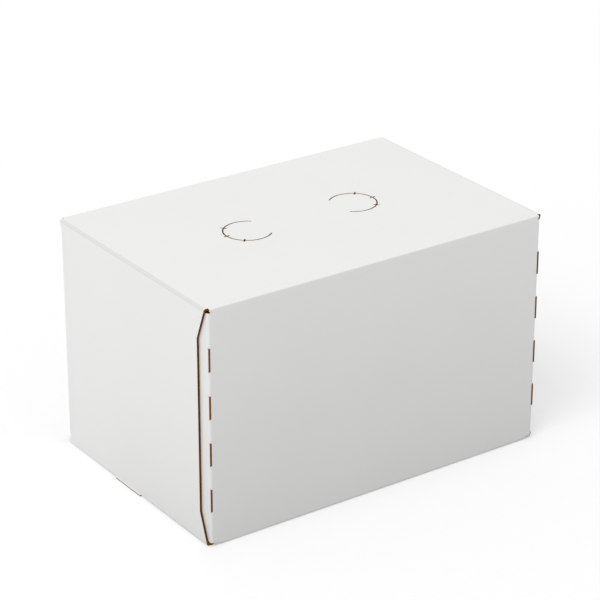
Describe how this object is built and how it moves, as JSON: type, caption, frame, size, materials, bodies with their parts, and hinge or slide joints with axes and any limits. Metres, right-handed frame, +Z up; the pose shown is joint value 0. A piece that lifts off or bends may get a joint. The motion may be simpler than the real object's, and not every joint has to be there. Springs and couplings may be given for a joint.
{
  "type": "can box",
  "caption": "White folding carton for upright drink cans, with finger cuts in its top and end panels that swing up over tucked dust flaps.",
  "frame": {"origin": "on the ground under the middle of the carton", "axes": "+X along the carton from its left end to its right end, +Y from its front to its back, +Z up"},
  "size_m": [0.2056, 0.1366, 0.1274],
  "materials": {
    "white_board": "matte coated",
    "kraft_liner": "uncoated kraft",
    "seam_glue": "dried dispersion glue"
  },
  "bodies": {
    "sleeve": {"top_panel": "white_board", "front_panel": "white_board", "back_panel": "white_board", "bottom_panel": "white_board", "glue_flap": "white_board", "glue_line": "seam_glue"},
    "left_end": {"left_end_panel": "white_board"},
    "right_end": {"right_end_panel": "white_board"},
    "left_under": {"left_under_flap": "white_board"},
    "right_under": {"right_under_flap": "white_board"},
    "left_front_dust": {"left_front_dust_flap": "white_board"},
    "left_back_dust": {"left_back_dust_flap": "white_board"},
    "right_front_dust": {"right_front_dust_flap": "white_board"},
    "right_back_dust": {"right_back_dust_flap": "white_board"},
    "left_tab": {"left_finger_tab": "white_board"},
    "right_tab": {"right_finger_tab": "white_board"}
  },
  "joints": [
    {"name": "left_end_fold", "type": "hinge", "parent": "sleeve", "child": "left_end", "pos_m": [-0.1024, 0, 0.1274], "axis": [0, 1, 0], "range_deg": [0, 130]},
    {"name": "right_end_fold", "type": "hinge", "parent": "sleeve", "child": "right_end", "pos_m": [0.1024, 0, 0.1274], "axis": [0, -1, 0], "range_deg": [0, 130]},
    {"name": "left_under_fold", "type": "hinge", "parent": "left_end", "child": "left_under", "pos_m": [-0.1024, 0, 0], "axis": [0, 1, 0], "range_deg": [0, 90]},
    {"name": "right_under_fold", "type": "hinge", "parent": "right_end", "child": "right_under", "pos_m": [0.1024, 0, 0], "axis": [0, -1, 0], "range_deg": [0, 90]},
    {"name": "left_front_dust_fold", "type": "hinge", "parent": "sleeve", "child": "left_front_dust", "pos_m": [-0.101, -0.0683, 0.0637], "axis": [0, 0, 1], "range_deg": [0, 65]},
    {"name": "left_back_dust_fold", "type": "hinge", "parent": "sleeve", "child": "left_back_dust", "pos_m": [-0.101, 0.0683, 0.0637], "axis": [0, 0, -1], "range_deg": [0, 65]},
    {"name": "right_front_dust_fold", "type": "hinge", "parent": "sleeve", "child": "right_front_dust", "pos_m": [0.101, -0.0683, 0.0637], "axis": [0, 0, -1], "range_deg": [0, 65]},
    {"name": "right_back_dust_fold", "type": "hinge", "parent": "sleeve", "child": "right_back_dust", "pos_m": [0.101, 0.0683, 0.0637], "axis": [0, 0, 1], "range_deg": [0, 65]},
    {"name": "left_tab_fold", "type": "hinge", "parent": "sleeve", "child": "left_tab", "pos_m": [-0.0249, 0, 0.1263], "axis": [0, -1, 0], "range_deg": [0, 95]},
    {"name": "right_tab_fold", "type": "hinge", "parent": "sleeve", "child": "right_tab", "pos_m": [0.0249, 0, 0.1263], "axis": [0, 1, 0], "range_deg": [0, 95]}
  ],
  "couplings": [
    {"joint": "left_front_dust_fold", "follows": "left_end_fold", "ratio": 0.5},
    {"joint": "left_back_dust_fold", "follows": "left_end_fold", "ratio": 0.5},
    {"joint": "right_front_dust_fold", "follows": "right_end_fold", "ratio": 0.5},
    {"joint": "right_back_dust_fold", "follows": "right_end_fold", "ratio": 0.5}
  ]
}
